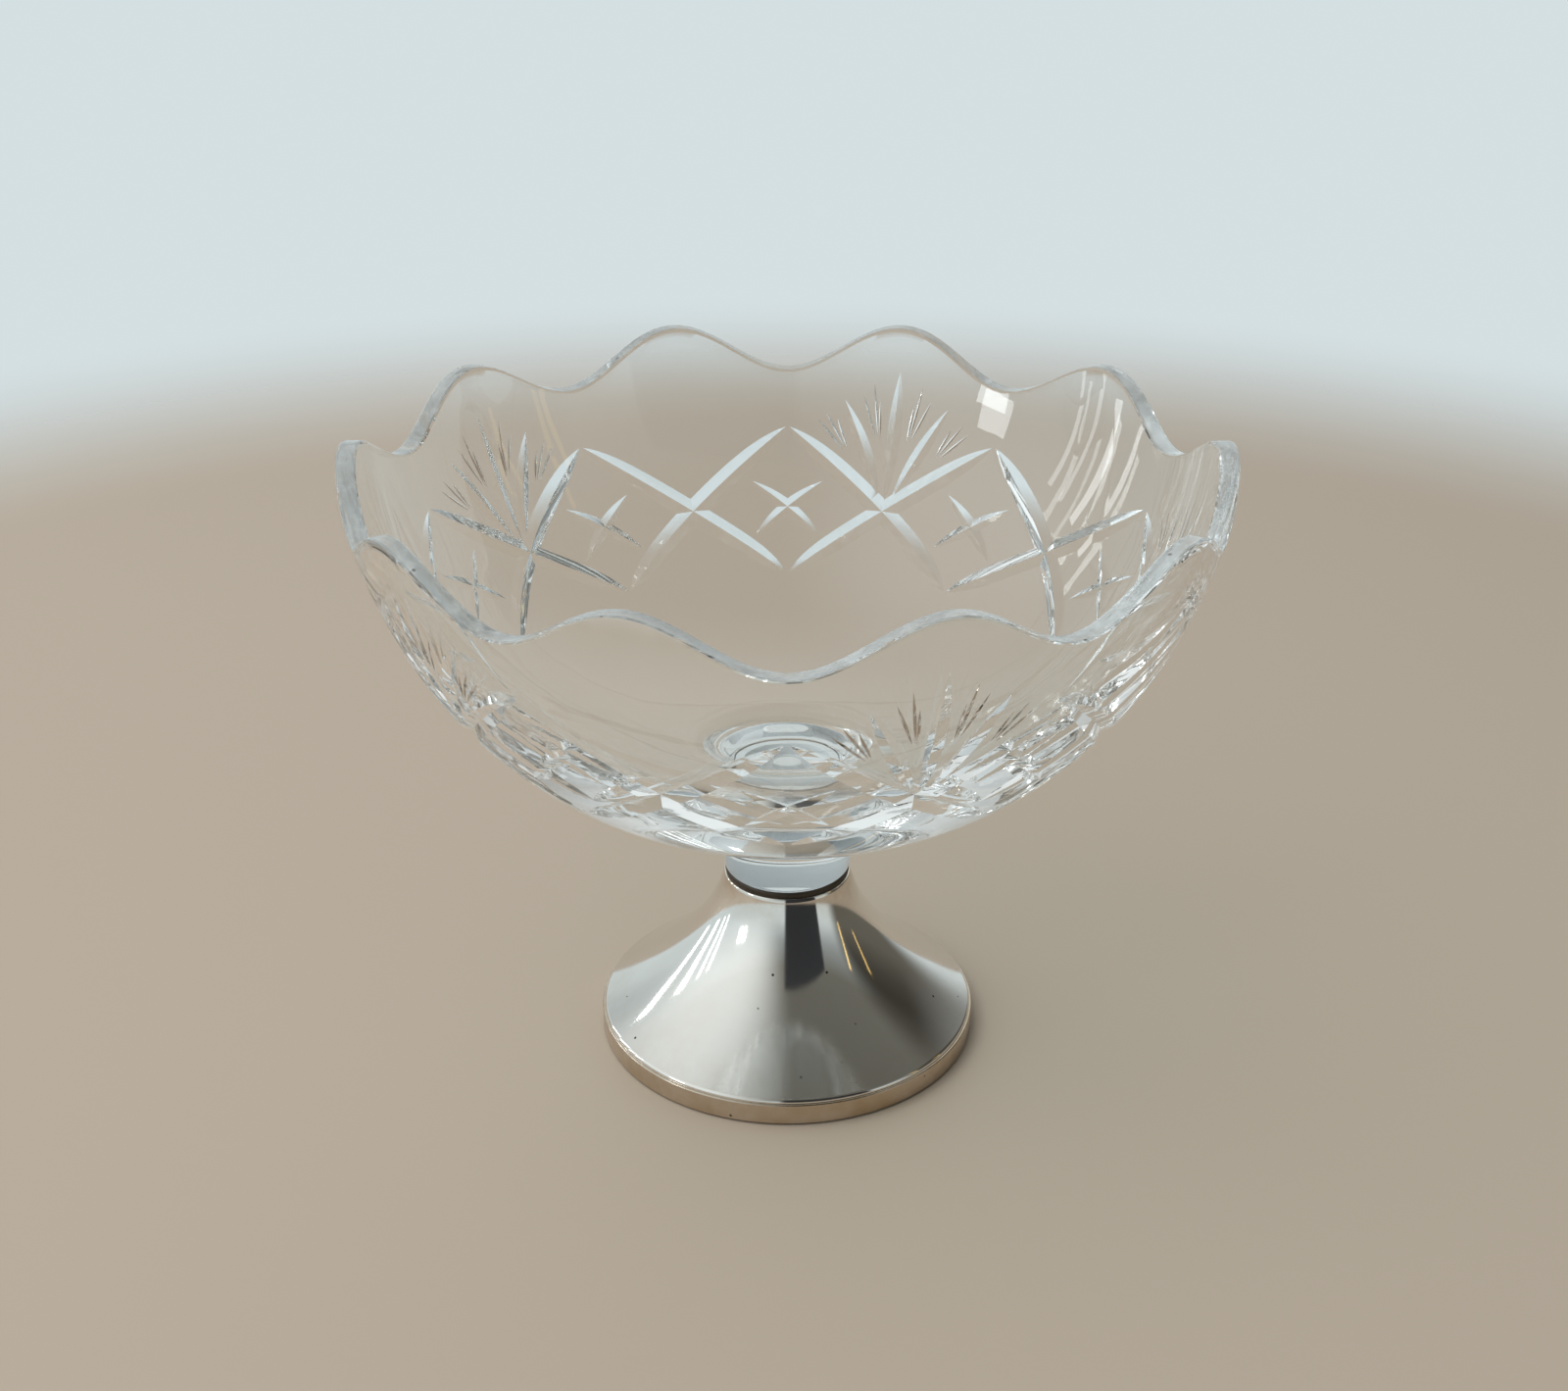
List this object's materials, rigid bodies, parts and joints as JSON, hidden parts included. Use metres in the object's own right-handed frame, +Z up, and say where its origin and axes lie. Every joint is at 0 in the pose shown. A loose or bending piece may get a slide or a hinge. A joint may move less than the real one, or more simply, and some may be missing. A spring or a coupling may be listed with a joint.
{
  "type": "footed bowl",
  "caption": "Cut crystal bowl with a scalloped edge, mitre-cut diamonds and fans, cemented into a weighted silver-plated trumpet foot with a felt base.",
  "frame": {"origin": "centre of the resting face, on the table, under the bowl's axis", "axes": "+Z up the bowl's axis, -Y towards the front, where the edge has a valley; +X to the right"},
  "size_m": [0.1832, 0.1792, 0.1386],
  "materials": {
    "crystal": "clear polished crystal, mitre cuts bright, top edge ground satin",
    "cement": "matt white plaster cement, seen through the glass stub",
    "dark_collar": "dark tarnished metal",
    "silver_plate": "polished silver plate with faint tarnish and small specks",
    "core_filling": "cast grey filling, not seen",
    "plate_metal": "dull sheet metal",
    "felt": "dark green wool felt"
  },
  "bodies": {
    "root": {"crystal_bowl": "crystal", "cement_bed": "cement", "neck_collar": "dark_collar", "foot_shell": "silver_plate", "weight_core": "core_filling", "base_band": "silver_plate", "base_plate": "plate_metal", "felt_pad": "felt"}
  },
  "joints": []
}
